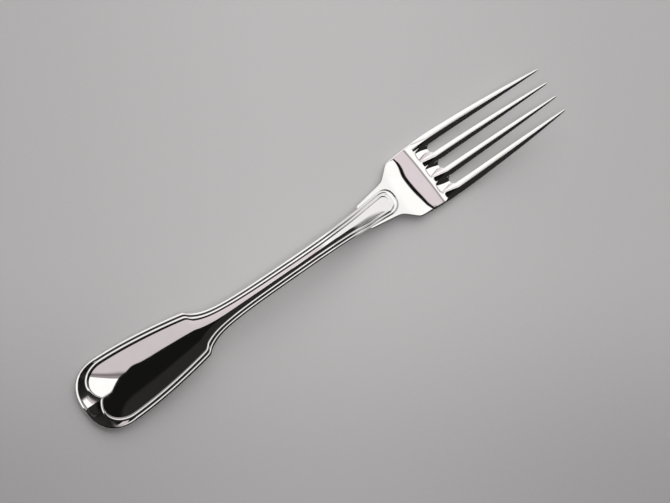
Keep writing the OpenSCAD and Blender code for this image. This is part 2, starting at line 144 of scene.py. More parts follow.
# Places along the fork, from the round end of the handle
HEEL_AT = HANDLE_LEN + STEM_LEN
CORNER_AT = HEEL_AT + NECK_LEN
ROOT_AT = CORNER_AT + HEAD_LEN
FORK_LEN = ROOT_AT + TINE_LEN
TINES_AT = ROOT_AT + SLOT_R
ARCH_AT = HANDLE_LEN + ARCH_X
BELLY_AT = CORNER_AT + BELLY_X
TONGUE_AT = CORNER_AT - TONGUE_GAP
ROUND_AT = TONGUE_AT - TONGUE_END
SIDE_AT = END_LEN + PAST_ROUND
# The handle meets the stem just past the shoulders, and the heel meets the head just past the tongue
PAST_SHOULDERS = 6.0
PAST_TONGUE = 0.7
STEM_AT = HANDLE_LEN + PAST_SHOULDERS
HEAD_AT = TONGUE_AT + PAST_TONGUE

# Reach along the edge over which its lean is taken, and along the face over which its slope is
LEAN_REACH = 0.8
SLOPE_REACH = 0.01
# Step at which the lowest place of the round end is looked for
LOW_STEP = 0.1
# Depth of the tongue in the heel, so that no light shows between them
TONGUE_SINK = 0.05

# Dull metal: depth and reach in the grooves, then where each patch starts and over what run it grows
GROOVE_DULL = 0.82
GROOVE_REACH = 0.13
BESIDE_RIDGE = (0.5, 0.3)  # over the ridge's half width
BEFORE_THREAD = (0.5, 0.3)  # over the field's width
ON_RIM = (0.55, 0.3)  # over the outer thread's width
WIDE_FIELD = (0.8, 0.9)  # width of the field
POLISHED_NECK = (HEEL_AT - 5.0, 8.0)
# On the -Y side the round end's rim is darkened further, as painted shade, and the field by the lobe and the
# stem's grooves keep less tarnish, as painted light
LOW_RIM_PAINTED_SHADE = (0.2, 0.15)
LOW_RIM_PAINTED_SHADE_END = (4.5, 2.5)
LOW_FIELD_PAINTED_HIGHLIGHT_END = (4.6, 2.0)
LOW_STEM_PAINTED_LIGHT = (STEM_AT, 10.0)
LOW_STEM_PAINTED_LIGHT_DULL = 0.45

# Numbers of rows of points, and the lengths before the shoulders and along the waist where they lie closer
END_ROWS = 96
HANDLE_ROWS = 52
SHOULDER_ROWS = 51
CLOSE_SHOULDER = 4.0
FAN_ROWS = 48
LAP_ROWS = 22
STEM_ROWS = 79
WAIST_ROWS = 41
CLOSE_WAIST = 12.0
HEAD_ROWS = 72
HEAD_CROWD = 1.4  # how much closer the rows of the head lie towards the tines
CORNER_ROWS = 10
HEEL_ROWS = 56
TINE_ROWS = 60
POINT_ROWS = 16
# Half the gap between the two rows on either side of the heel's front
ROW_GAP = 0.1
# Numbers of columns of points
RISE_COLUMNS = 10
FALL_COLUMNS = 8
FIELD_COLUMNS = 13
INNER_COLUMNS = 15
PANEL_COLUMNS = 25
BACK_COLUMNS = 22
TINE_COLUMNS = 19
SLOT_COLUMNS = 15


def mix(a, b, f):
    return a + (b - a) * f


def ease(f):
    c = np.clip(f, 0.0, 1.0)
    return c * c * (3 - 2 * c)


def grow(value, start, run):
    """Nothing up to the start, and one a run further."""
    return ease((value - start) / run)


def steps(a, b, n):
    """Even places from a to b, without b itself."""
    return np.linspace(a, b, n + 1)[:-1]


def soft_min(a, b, k):
    return (a + b - np.sqrt((a - b) ** 2 + k * k)) / 2


def soft_max(a, b, k):
    return (a + b + np.sqrt((a - b) ** 2 + k * k)) / 2


def cubic(a, b, x):
    """The cubic between two knots, each given as place, height and slope."""
    h = b[0] - a[0]
    f = (x - a[0]) / h
    return (
        a[1] * (1 + 2 * f) * (1 - f) ** 2
        + a[2] * h * f * (1 - f) ** 2
        + b[1] * (3 - 2 * f) * f**2
        - b[2] * h * (1 - f) * f**2
    )


def arch_fall(q):
    """How far an arched top has fallen at a share q of its half width."""
    return 1 - np.sqrt(np.clip(1 - q * q, 0, None))


def back_rise(q):
    """How far the back has risen at a share q of its half width."""
    return 1 - np.sqrt(np.clip(1 - np.abs(q) ** BACK_FLATNESS, 0, None))


def stem_half(x):
    """Half width of the handle, the stem and the tongue."""
    narrowing = np.clip((x - END_LEN) / (HANDLE_LEN - END_LEN), 0, 1) ** TAPER_POWER
    taper = mix(HANDLE_W / 2, SHOULDER_W / 2, narrowing)
    running = np.maximum(1 + (x - HANDLE_LEN) / SHOULDER_SWEEP, SWEEP_LEAST) ** -SWEEP_POWER
    sweep = mix(STEM_W / 2, SHOULDER_W / 2, running)
    spread = TONGUE_SPREAD * np.maximum(0, (x - ARCH_AT) / (ROUND_AT - ARCH_AT)) ** 2
    return soft_min(taper, sweep, SHOULDER_ROUND) + spread


def thread_at(x):
    """Width of a thread."""
    return mix(THREAD_W, STEM_THREAD_W, grow(x, HANDLE_LEN, THREAD_RUN))


def head_half(x):
    """Half width of the heel and the head."""
    corner = HEEL_ROUND * arch_fall(np.clip(1 - (x - HEEL_AT) / HEEL_ROUND, 0, 1))
    heel = HEEL_W / 2 + HEEL_SPREAD * (x - HEEL_AT) / (NECK_LEN - HEEL_ROOT) - corner
    flank = CORNER_W / 2 + (x - CORNER_AT)
    f = np.maximum((TINES_AT - x) / (TINES_AT - CORNER_AT), 0)
    face_edge = mix(HEAD_W / 2, CORNER_W / 2, f**FACE_POWER)
    return soft_min(soft_max(heel, flank, ROOT_ROUND), face_edge, CORNER_ROUND)


def end_low():
    """Lowest place of the round end's back, above the underside at the tip."""
    x = np.arange(0.0, END_LEN + LOW_STEP / 2, LOW_STEP)
    return float(np.min(END_SLOPE * x + HANDLE_BULGE * back_rise((END_LEN - x) / END_LEN)))


KNOTS = (
    (0.0, -end_low() - WORN_FLAT, END_SLOPE),
    (ARCH_AT, ARCH_H, 0.0),
    (BELLY_AT, -WORN_FLAT, 0.0),
    (FORK_LEN, TIP_RISE, TIP_SLOPE),
)


def worn(z):
    """Heights of the back, with flats worn where it touches the table."""
    return np.maximum(z, 0.0)


def under(x):
    """Height of the underside along the middle line, before the flats are worn on it."""
    return np.where(
        x < ARCH_AT,
        cubic(KNOTS[0], KNOTS[1], x),
        np.where(x < BELLY_AT, cubic(KNOTS[1], KNOTS[2], x), cubic(KNOTS[2], KNOTS[3], x)),
    )


def face_t(x):
    """Thickness of the head and the tines."""
    return mix(HEAD_T, TIP_T, np.maximum(0, (x - BELLY_AT) / (FORK_LEN - BELLY_AT)) ** THIN_POWER)


TONGUE_T = float(face_t(TONGUE_AT)) + TONGUE_STEP


def stem_thick(x):
    """Thickness of the handle, the stem and the tongue."""
    return np.where(
        x < ARCH_AT,
        mix(HANDLE_T, STEM_T, grow(x, EVEN_LEN, ARCH_AT - EVEN_LEN)),
        mix(STEM_T, TONGUE_T, grow(x, HEEL_AT - TONGUE_RUN, TONGUE_AT - HEEL_AT + TONGUE_RUN)),
    )


def tongue_share(x):
    """Share of the way along the tongue."""
    return grow(x, HEEL_AT, TONGUE_AT - HEEL_AT)


def crown(x):
    """Rise of the panel from its edges to its middle line."""
    handle = HANDLE_CROWN * ease(x / CROWN_LEN)
    waist = mix(HANDLE_CROWN, STEM_CROWN, grow(x, HANDLE_LEN, WAIST_LEN))
    tongue = mix(STEM_CROWN, TONGUE_CROWN, tongue_share(x))
    return np.where(x < HANDLE_LEN, handle, np.where(x < ARCH_AT, waist, tongue))


def crown_power(x):
    """How the panel falls to its edges."""
    waist = grow(x, HANDLE_LEN, WAIST_LEN) * (1 - tongue_share(x))
    return mix(PANEL_POWER, RIDGE_POWER, waist)


def bulge(x):
    """Roundness of the back of the handle and the stem."""
    return mix(HANDLE_BULGE, STEM_BULGE, grow(x, HANDLE_LEN - BULGE_START, BULGE_LEN))


def face(x):
    """Height of the head's and the tines' top along the middle line."""
    return under(x) + face_t(x)


SEAT_Z = float(face(TONGUE_AT))
SEAT_SLOPE = float(face(TONGUE_AT + SLOPE_REACH) - face(TONGUE_AT - SLOPE_REACH)) / (2 * SLOPE_REACH)


def seat(x):
    """Height of the straight seat that carries the tongue."""
    return SEAT_Z + SEAT_SLOPE * (x - TONGUE_AT)


def head_top(x):
    return np.where(x < TONGUE_AT, seat(x), face(x))


def round_share(u, v):
    return (np.maximum(u, 0) ** FULLNESS + np.abs(v) ** FULLNESS) ** (1 / FULLNESS)


def edge_share(x, y):
    """Share of the way from the middle line, or the middle of a round end, to the edge."""
    at_end = round_share((END_LEN - x) / END_LEN, y / (HANDLE_W / 2))
    at_tongue = round_share((x - ROUND_AT) / TONGUE_END, y / stem_half(ROUND_AT))
    along = np.abs(y) / stem_half(x)
    share = np.where(x < END_LEN, at_end, np.where(x > ROUND_AT, at_tongue, along))
    return np.minimum(share, 1.0)


# Columns of points from the edge inwards: over the outer thread, the field, the inner thread and the panel,
# as shares of a thread's width or of the way across
OUTER_RISE = (1 - np.cos(np.linspace(0, QUARTER_TURN, RISE_COLUMNS))) / 2
OUTER = np.concatenate([OUTER_RISE, np.linspace(0.5, 1, FALL_COLUMNS)[1:]])
FIELD = np.linspace(0, 1, FIELD_COLUMNS)[1:]
INNER = np.linspace(-0.5, 0.5, INNER_COLUMNS)[1:]
PANEL = np.linspace(0, 1, PANEL_COLUMNS)[1:]
RIM_PART = slice(0, len(OUTER))
FIELD_PART = slice(len(OUTER), len(OUTER) + len(FIELD))
# Columns of the back, as shares of the way from the edge to the middle line
BACK = 1 - np.cos(np.linspace(0, QUARTER_TURN, BACK_COLUMNS))


def across(v, w):
    """Points at distances w along the vectors v: n by 2 and n by m become n by m by 2."""
    return v[:, None, :] * w[:, :, None]


def unit(v):
    return v / np.linalg.norm(v, axis=1, keepdims=True)


def thread_relief(x, field, width, drop):
    """Height of the threads and the field above the panel, with the outer thread's drop to the edge."""
    ridge = RIDGE_H * np.maximum(0, 1 - field[..., 1] / RIDGE_W) ** 2 * 4 * FIELD * (1 - FIELD)
    ridge = np.where(field[..., 0] > END_LEN, 0, ridge)
    high = FIELD_H * ease((width / THREAD_GAP - 1) / FIELD_GROW)
    low = np.maximum(high - FIELD_FALL, 0)
    rim = np.sqrt(np.clip(1 - (1 - 2 * OUTER) ** 2, 0, None))
    relief = np.concatenate(
        [
            np.where(OUTER < 0.5, THREAD_H * rim, mix(THREAD_H, high, (2 * OUTER - 1) ** 2)),
            mix(high, low, FIELD) + ridge,
            mix(THREAD_H, np.where(INNER < 0, low, 0), 4 * INNER**2),
            np.zeros((len(x), len(PANEL))),
        ],
        axis=1,
    )
    relief = relief * mix(1, THREAD_FADE, tongue_share(x))
    relief[:, RIM_PART] -= drop[:, None] * np.where(OUTER < 0.5, 1 - rim, 0)
    return relief


def dullness(xy, field, width, grooves):
    """How dull the metal is in the grooves and the field.

    Where the field is wide it is dull beside its ridge and before the inner thread.
    """
    near = np.min([np.linalg.norm(xy - line[:, None], axis=2) for line in grooves], axis=0)
    dull = GROOVE_DULL * np.exp(-((near / GROOVE_REACH) ** 2))
    wide = grow(width, *WIDE_FIELD)
    beside = grow(field[..., 1] / RIDGE_W, *BESIDE_RIDGE)
    before = grow(FIELD, *BEFORE_THREAD)
    dull[:, FIELD_PART] = np.maximum(dull[:, FIELD_PART], wide * np.maximum(beside, before))
    dull[:, RIM_PART] = np.maximum(dull[:, RIM_PART], wide * beside[:, :1] * grow(OUTER, *ON_RIM))
    return dull * (1 - grow(xy[..., 0], *POLISHED_NECK))


def plan_rows(p, q, c, b, drop):
    """Rows of points from the edge p, over the inner thread along q, to the middle line c.

    The threads are b wide. Returns x, y, the relief and the dullness.
    """
    reach = np.linalg.norm(q - p, axis=1)
    into, onward = unit(q - p), unit(c - q)
    half = (b / 2)[:, None]
    foot = q + onward * half
    width = (reach - INNER_MID * b)[:, None]
    b = b[:, None]
    outer = p[:, None] + across(into, b * OUTER)
    field = p[:, None] + across(into, b + width * FIELD)
    inner = q[:, None] + np.where(
        (INNER < 0)[None, :, None],
        across(into, b * INNER),
        across(onward, b * INNER),
    )
    panel = foot[:, None] + (c - foot)[:, None] * PANEL[None, :, None]
    xy = np.concatenate([outer, field, inner, panel], axis=1)
    grooves = (p + into * b, q - into * half, foot)
    relief = thread_relief(xy[..., 0], field, width, drop)
    return xy[..., 0], xy[..., 1], relief, dullness(xy, field, width, grooves)


def side_rows(x):
    """Rows along the handle, the stem or the tongue.

    Returns the edge, the inner thread, the middle line, the width of a thread and its drop.
    """
    lean = (stem_half(x + LEAN_REACH) - stem_half(x - LEAN_REACH)) / (2 * LEAN_REACH)
    b = thread_at(x) * np.sqrt(1 + lean**2)
    w = stem_half(x)
    zero = np.zeros_like(x)
    inner = w - INNER_MID * b - THREAD_GAP
    return np.stack([x, w], 1), np.stack([x, inner], 1), np.stack([x, zero], 1), b, zero + THREAD_DROP


def end_rows(f):
    """Rows round the end of the handle, where the inner thread leaves the edge in two lobes and a cusp."""
    a = f * QUARTER_TURN
    k = 2 / FULLNESS
    p = np.stack([END_LEN * (1 - np.cos(a) ** k), HANDLE_W / 2 * np.sin(a) ** k], 1)
    side_y = HANDLE_W / 2 - INNER_MID * THREAD_W - THREAD_GAP
    y_in = LOBE_Y * np.minimum(f / LOBE_SHARE, 1)
    x_in = mix(LOBE_X, CUSP_X, (1 - y_in / LOBE_Y) ** CUSP_POWER)
    t = np.clip((f - LOBE_SHARE) / (1 - LOBE_SHARE), 0, 1) * QUARTER_TURN
    q = np.where(
        (f < LOBE_SHARE)[:, None],
        np.stack([x_in, y_in], 1),
        np.stack([mix(SIDE_AT, LOBE_X, np.cos(t)), mix(LOBE_Y, side_y, np.sin(t))], 1),
    )
    c = np.stack([mix(CUSP_X + CUSP_MID, END_LEN, f), np.zeros_like(f)], 1)
    return p, q, c, np.full_like(f, THREAD_W), np.full_like(f, THREAD_DROP)


def tongue_rows(f):
    """Rows round the end of the tongue."""
    k = 2 / FULLNESS
    s, c = np.sin(f * QUARTER_TURN) ** k, np.cos(f * QUARTER_TURN) ** k
    w = float(stem_half(np.float64(ROUND_AT)))
    b = thread_at(ROUND_AT) * mix(1, TONGUE_RIM, c)
    inset = INNER_MID * b + THREAD_GAP
    p = np.stack([ROUND_AT + TONGUE_END * c, w * s], 1)
    q = np.stack([ROUND_AT + (TONGUE_END - inset) * c, (w - inset) * s], 1)
    m = np.stack([ROUND_AT + (TONGUE_END - TONGUE_MID) * c, np.zeros_like(f)], 1)
    return p, q, m, b, mix(THREAD_DROP, TONGUE_DROP, c)


def joined(*rows):
    return [np.concatenate(parts) for parts in zip(*rows)]


def panel_net(rows):
    """Top net of the handle or stem, and its dullness."""
    x, y, relief, dull = plan_rows(*rows)
    share = np.minimum(np.abs(y) / stem_half(x), 1)
    z = under(x) + stem_thick(x) - crown(x) * share ** crown_power(x) + relief
    return np.stack([x, y, z], 2), dull


def back_plan(rows):
    """Plan of a net from the edge to the middle line."""
    p, _, c, _, _ = rows
    xy = p[:, None] + (c - p)[:, None] * BACK[None, :, None]
    return xy[..., 0], xy[..., 1]


def back_net(rows):
    x, y = back_plan(rows)
    return np.stack([x, y, worn(under(x) + bulge(x) * back_rise(edge_share(x, y)))], 2)


def seat_net(rows):
    x, y = back_plan(rows)
    return np.stack([x, y, seat(x) - TONGUE_SINK], 2)


class Shell:
    """Points and faces of one closed piece, in millimetres from the round end of the handle."""

    def __init__(self):
        self.points, self.faces, self.dull, self.count = [], [], [], 0

    def add(self, points, dull=None):
        """Adds points and returns the number of the first."""
        start = self.count
        points = points.reshape(-1, 3)
        self.points.append(points)
        self.dull.append(np.zeros(len(points)) if dull is None else dull.reshape(-1))
        self.count += len(points)
        return start

    def quads(self, index, flip):
        """Faces of a grid of point numbers."""
        a, b, c, d = index[:-1, :-1], index[1:, :-1], index[1:, 1:], index[:-1, 1:]
        order = (d, c, b, a) if flip else (a, b, c, d)
        self.faces.extend(np.stack(order, 2).reshape(-1, 4).tolist())

    def mesh(self, name):
        points = np.concatenate(self.points) - (FORK_LEN / 2, 0, 0)
        mesh = bpy.data.meshes.new(name)
        mesh.from_pydata((points * MM).tolist(), [], self.faces)
        # Tarnish per point; on the -Y side it also holds painted shade and painted light
        dull = mesh.attributes.new("groove", "FLOAT", "POINT")
        dull.data.foreach_set("value", np.concatenate(self.dull).astype(np.float32))
        return mesh


def wrapped_grid(shell, net, dull, low_dull_and_painted_shading):
    """Adds a net and its mirror image on the -Y side, and returns the grid of their point numbers. The mirror
    image takes the -Y side's dullness, with its painted shade and painted light.
    """
    n, m = net.shape[0] - 1, net.shape[1] - 1
    mirrored = net[1:, :m][::-1] * (1, -1, 1)
    sides = np.concatenate([low_dull_and_painted_shading[1:, :m][::-1], dull[:, :m]])
    start = shell.add(np.concatenate([mirrored, net[:, :m]]), sides)
    middle = shell.add(net[:, m], dull[:, m])
    index = start + np.arange((2 * n + 1) * m).reshape(2 * n + 1, m)
    axis = middle + np.abs(np.arange(-n, n + 1))
    return np.concatenate([index, axis[:, None]], axis=1)


def round_ended(tops, backs, dull, low_dull_and_painted_shading, flip):
    """A closed shell from half nets, round at row 0 and flat at the last row. Column 0 is the edge."""
    shell = Shell()
    clean = np.zeros(backs.shape[:2])
    top = wrapped_grid(shell, tops, dull, low_dull_and_painted_shading)
    back = wrapped_grid(shell, backs, clean, clean)
    shell.quads(top, flip)
    shell.quads(back, not flip)
    shell.quads(np.stack([back[:, 0], top[:, 0]], 1), flip)
    cap = top[-1].tolist() + top[0, -2::-1].tolist() + back[0].tolist() + back[-1, -2::-1].tolist()
    shell.faces.append(cap[::-1] if flip else cap)
    return shell


def flat_ended(tops, backs):
    """A closed shell from nets whose rows run along X and whose columns run along +Y, flat at both ends."""
    shell = Shell()
    grids = []
    for net in (tops, backs):
        start = shell.add(net)
        grids.append(start + np.arange(net.shape[0] * net.shape[1]).reshape(net.shape[:2]))
    top, back = grids
    shell.quads(top, False)
    shell.quads(back, True)
    shell.quads(np.stack([back[:, 0], top[:, 0]], 1), False)
    shell.quads(np.stack([back[:, -1], top[:, -1]], 1), True)
    shell.quads(np.stack([back[0], top[0]], 1), True)
    shell.quads(np.stack([back[-1], top[-1]], 1), False)
    return shell


def handle_shell():
    close_at = HANDLE_LEN - CLOSE_SHOULDER
    rows = joined(
        end_rows(steps(0, 1, END_ROWS)),
        side_rows(steps(SIDE_AT, close_at, HANDLE_ROWS)),
        side_rows(np.linspace(close_at, STEM_AT, SHOULDER_ROWS)),
    )
    tops, dull = panel_net(rows)
    # On the -Y side: painted shade on the rim near the round end, and painted light where the field past the
    # lobe loses its tarnish
    low_dull_and_painted_shading = dull.copy()
    low_rim_painted_shade = (1 - grow(tops[:, RIM_PART, 0], *LOW_RIM_PAINTED_SHADE_END)) * grow(OUTER, *LOW_RIM_PAINTED_SHADE)
    low_dull_and_painted_shading[:, RIM_PART] = np.maximum(dull[:, RIM_PART], low_rim_painted_shade)
    # Painted highlight: the field past the lobe loses its tarnish on the -Y side only
    low_dull_and_painted_shading[:, FIELD_PART] *= 1 - grow(tops[:, FIELD_PART, 0], *LOW_FIELD_PAINTED_HIGHLIGHT_END)
    return round_ended(tops, back_net(rows), dull, low_dull_and_painted_shading, False)


def stem_shell():
    waist_at = STEM_AT + CLOSE_WAIST
    fan = tongue_rows(steps(0, 1, FAN_ROWS))
    lap = side_rows(np.linspace(ROUND_AT, HEEL_AT + ROW_GAP, LAP_ROWS))
    stem_x = [steps(HEEL_AT - ROW_GAP, waist_at, STEM_ROWS), np.linspace(waist_at, STEM_AT, WAIST_ROWS)]
    stem = side_rows(np.concatenate(stem_x))
    tops, dull = panel_net(joined(fan, lap, stem))
    backs = np.concatenate([seat_net(joined(fan, lap)), back_net(stem)])
    # On the -Y side the stem's grooves keep less tarnish: painted light
    low_dull_and_painted_shading = dull * mix(1, LOW_STEM_PAINTED_LIGHT_DULL, grow(tops[..., 0], *LOW_STEM_PAINTED_LIGHT))
    return round_ended(tops, backs, dull, low_dull_and_painted_shading, True)


# Columns of the head, from -Y to +Y: across each tine, then round each slot's root
TINE_Q = np.sin(np.linspace(-QUARTER_TURN, QUARTER_TURN, TINE_COLUMNS))
SLOT_A = np.linspace(-QUARTER_TURN, QUARTER_TURN, SLOT_COLUMNS)[1:-1]
TINE_ROOTS = (
    (-HEAD_W / 2, -SLOT_Y - SLOT_R),
    (-SLOT_Y + SLOT_R, -SLOT_R),
    (SLOT_R, SLOT_Y - SLOT_R),
    (SLOT_Y + SLOT_R, HEAD_W / 2),
)
SLOT_MIDS = (-SLOT_Y, 0.0, SLOT_Y)
TIP_MIDS = (-OUTER_TIP_Y, -INNER_TIP_Y, INNER_TIP_Y, OUTER_TIP_Y)
ROOT_HALF = (TINE_ROOTS[-1][1] - TINE_ROOTS[-1][0]) / 2


def head_columns():
    """Where each column ends: x, y and the share of its tine's half width."""
    cols = []
    for i, (low, high) in enumerate(TINE_ROOTS):
        cols += [(TINES_AT, mix(low, high, (q + 1) / 2), q) for q in TINE_Q]
        if i < len(SLOT_MIDS):
            slot = [(SLOT_R * math.cos(a), SLOT_R * math.sin(a)) for a in SLOT_A]
            cols += [(TINES_AT - depth, SLOT_MIDS[i] + side, 1.0) for depth, side in slot]
    return np.array(cols)


def edge_drop(w, y):
    """Drop of the face in the rounding along its edges."""
    return EDGE_FALL * arch_fall(1 - np.minimum(1, (w - np.abs(y)) / EDGE_ROUND))


def dome(x, y):
    """Drop of the head's face from its middle line towards its edges."""
    return HEAD_DOME * (y / head_half(x)) ** 2 * grow(x, TONGUE_AT, DOME_LEN)


def head_shell():
    cols = head_columns()
    f = (1 - (1 - np.linspace(0, 1, HEAD_ROWS)) ** HEAD_CROWD)[:, None]
    x = mix(HEAD_AT, TINES_AT, f) - (TINES_AT - cols[:, 0][None]) * f**BAY_POWER
    w = head_half(x)
    y = cols[:, 1][None] * w / head_half(cols[:, 0])[None]
    q = cols[:, 2][None]
    flute = np.maximum(0, (f - 1) * (TINES_AT - HEAD_AT) / FLUTE_LEN + 1)
    dip = TINE_FALL * ROOT_HALF * np.abs(q) ** (2 + FLUTE_BRIM * (1 - flute)) * flute
    fall = np.maximum(dip, edge_drop(w, y)) + dome(x, y)
    rise = mix(HEAD_BULGE * back_rise(y / w), TINE_LIFT * ROOT_HALF * arch_fall(q), flute)
    return flat_ended(np.stack([x, y, head_top(x) - fall], 2), np.stack([x, y, worn(under(x) + rise)], 2))


def heel_shell():
    cols = head_columns()
    share = (cols[:, 1] / head_half(cols[:, 0]))[None]
    corner = HEEL_AT + HEEL_ROUND * (1 - np.cos(np.linspace(0, QUARTER_TURN, CORNER_ROWS)))
    rows = np.concatenate([corner[:-1], np.linspace(corner[-1], HEAD_AT, HEEL_ROWS)])
    x = np.broadcast_to(rows[:, None], (len(rows), len(cols)))
    w = head_half(x)
    y = w * share
    f = (x - HEEL_AT) / (HEAD_AT - HEEL_AT)
    rise = mix(HEEL_BULGE, HEAD_BULGE, f) * back_rise(share) - HEEL_DROP * (1 - ease(f))
    tops = head_top(x) - edge_drop(w, y) - dome(x, y)
    return flat_ended(np.stack([x, y, tops], 2), np.stack([x, y, worn(under(x) + rise)], 2))


def tine_shell(i):
    low, high = TINE_ROOTS[i]
    point = FORK_LEN - POINT_LEN * np.cos(np.linspace(0, POINT_TURN, POINT_ROWS))
    x = np.concatenate([np.linspace(TINES_AT, point[0], TINE_ROWS)[:-1], point])[:, None]
    f = (x - TINES_AT) / (FORK_LEN - TINES_AT)
    shape = mix(f**TINE_POWER, f, TINE_EVEN)
    p = np.maximum(0, 1 - (FORK_LEN - x) / POINT_LEN)
    half = mix((high - low) / 2, TIP_W / 2, shape) * np.sqrt(1 - p * p)
    y = mix((low + high) / 2, TIP_MIDS[i], f**TINE_BEND) + half * TINE_Q
    x = np.broadcast_to(x, y.shape)
    rise = mix(ROOT_HALF, TIP_W / 2, shape)
    tops = head_top(x) - TINE_FALL * rise * TINE_Q**2 - dome(x, y)
    backs = under(x) + TINE_LIFT * rise * arch_fall(TINE_Q)
    return flat_ended(np.stack([x, y, tops], 2), np.stack([x, y, backs], 2))


class Tree:
    """Short ways to add nodes to a shader's node tree."""

    def __init__(self, tree):
        self.nodes, self.links = tree.nodes, tree.links

    def add(self, kind, inputs=None, **settings):
        node = self.nodes.new(kind)
        for name, value in settings.items():
            setattr(node, name, value)
        for name, value in (inputs or {}).items():
            self.join(value, node.inputs[name])
        return node

    def join(self, value, socket):
        if isinstance(value, bpy.types.NodeSocket):
            self.links.new(value, socket)
        else:
            socket.default_value = value

    def math(self, operation, a, b=0.0):
        return self.add("ShaderNodeMath", {0: a, 1: b}, operation=operation).outputs[0]

    def weighed(self, a, a_share, b, b_share):
        """The sum of two values, each times its share."""
        return self.math("ADD", self.math("MULTIPLY", a, a_share), self.math("MULTIPLY", b, b_share))

    def noise(self, place, scale, detail):
        inputs = {"Vector": place, "Scale": scale, "Detail": detail}
        return self.add("ShaderNodeTexNoise", inputs).outputs["Fac"]

    def ramp(self, value, low, high, start=0.0, stop=1.0, kind="SMOOTHSTEP"):
        """A value that goes from start to stop as the input goes from low to high."""
        inputs = {"Value": value, "From Min": low, "From Max": high, "To Min": start, "To Max": stop}
        return self.add("ShaderNodeMapRange", inputs, interpolation_type=kind).outputs[0]

    def fall(self, value, low, high):
        """One up to low, and nothing from high on."""
        return self.ramp(value, low, high, 1.0, 0.0)

    def band(self, value, low, high, soft):
        """One between low and high, and nothing beyond."""
        rise = self.ramp(value, low - soft, low + soft)
        return self.math("MULTIPLY", rise, self.fall(value, high - soft, high + soft))

    def shifted(self, value, by, bends):
        """The value with a ramp over another value added for each bend."""
        for bend in bends:
            value = self.math("ADD", value, self.ramp(by, *bend))
        return value

    def mix(self, share, a, b):
        node = self.add("ShaderNodeMix", data_type="RGBA")
        for socket, value in zip([node.inputs[0], node.inputs[6], node.inputs[7]], [share, a, b]):
            self.join(value, socket)
        return node.outputs[2]

    def layer(self, base, over, *shares):
        """A colour laid over another where all the shares are one."""
        share = shares[0]
        for other in shares[1:]:
            share = self.math("MULTIPLY", share, other)
        return self.mix(share, base, over)


# Silver: waves from hand polishing, and fine scratches from use, most of them along the fork
WAVE_SCALE = 95.0
WAVE_DETAIL = 1.0
WAVE_HEIGHT = 0.00001
SCRATCH_SCALE = 9000.0
SCRATCH_DETAIL = 2.0
SCRATCH_STRETCH = (0.12, 1.0, 1.0)
SCRATCH_HEIGHT = 0.00002
SCRATCH_STRENGTH = 0.002
# Smears in its polish and tone. The tines are worn rougher than the rest
SMEAR_SCALE = 260.0
SMEAR_DETAIL = 3.0
SMEAR_ROUGH = (0.3, 0.7, 0.012, 0.025)
TINE_ROUGH = (0.046, 0.054, 0.0, 0.13)
SMEAR_TONE = (0.35, 0.65)
COOL_SILVER = (0.93, 0.925, 0.915, 1)
WARM_SILVER = (0.915, 0.905, 0.89, 1)
# Dark tarnish colour: patina in the grooves, and on the -Y side also painted shade on the round end's rim
TARNISH = (0.05, 0.047, 0.046, 1)
TARNISH_ROUGH = 0.2


def silver_material():
    """Polished silver with faint wear marks, and dull dark metal in the grooves of the threads, which on the
    -Y side also carries painted shade and painted light.
    """
    mat = bpy.data.materials.new("polished_silver")
    mat.use_nodes = True
    tree = Tree(mat.node_tree)
    shader = mat.node_tree.nodes["Principled BSDF"]
    place = tree.add("ShaderNodeTexCoord").outputs["Object"]
    wave = tree.noise(place, WAVE_SCALE, WAVE_DETAIL)
    drawn = tree.add("ShaderNodeMapping", {"Vector": place, "Scale": SCRATCH_STRETCH}).outputs["Vector"]
    scratch = tree.noise(drawn, SCRATCH_SCALE, SCRATCH_DETAIL)
    bump = tree.add("ShaderNodeBump", {"Height": wave, "Strength": 1.0, "Distance": WAVE_HEIGHT})
    scratches = {"Height": scratch, "Strength": SCRATCH_STRENGTH, "Distance": SCRATCH_HEIGHT}
    fine = tree.add("ShaderNodeBump", {**scratches, "Normal": bump.outputs["Normal"]})
    tree.join(fine.outputs["Normal"], shader.inputs["Normal"])
    # Tarnish per point, with painted shade and painted light on the -Y side
    groove = tree.add("ShaderNodeAttribute", attribute_name="groove").outputs["Fac"]
    smear = tree.noise(place, SMEAR_SCALE, SMEAR_DETAIL)
    ahead = tree.add("ShaderNodeSeparateXYZ", {"Vector": place}).outputs["X"]
    rough = tree.math("ADD", tree.ramp(smear, *SMEAR_ROUGH), tree.ramp(ahead, *TINE_ROUGH))
    rough = tree.math("ADD", rough, tree.math("MULTIPLY", groove, TARNISH_ROUGH))
    tree.join(rough, shader.inputs["Roughness"])
    clean = tree.mix(tree.ramp(smear, *SMEAR_TONE), COOL_SILVER, WARM_SILVER)
    tree.join(tree.mix(groove, clean, TARNISH), shader.inputs["Base Color"])
    shader.inputs["Metallic"].default_value = 1.0
    return mat


# The fork's axis in the picture
AXIS_COS, AXIS_SIN = 0.82315, 0.56784

# Table: its tone, painted shade that darkens the near edge and the sides, over their reach in metres, and a
# faint grain
TABLE_TONE = (0.501, 0.487, 0.489, 1)
PAINTED_SHADE_DARK = (0.0, 0.0, 0.0, 1)
NEAR_REACH = (-0.085, 0.0)
NEAR_PAINTED_SHADE = 0.215
SIDE_REACH = (0.0, 0.12)
SIDE_PAINTED_SHADE = 0.135
GRAIN_SCALE = 900.0
GRAIN_DETAIL = 3.0
GRAIN_SHADE = (0.3, 0.7, -0.006, 0.006)
TABLE_ROUGH = 0.7
TABLE_SPECULAR = 0.2
TABLE_SIZE = 6.0


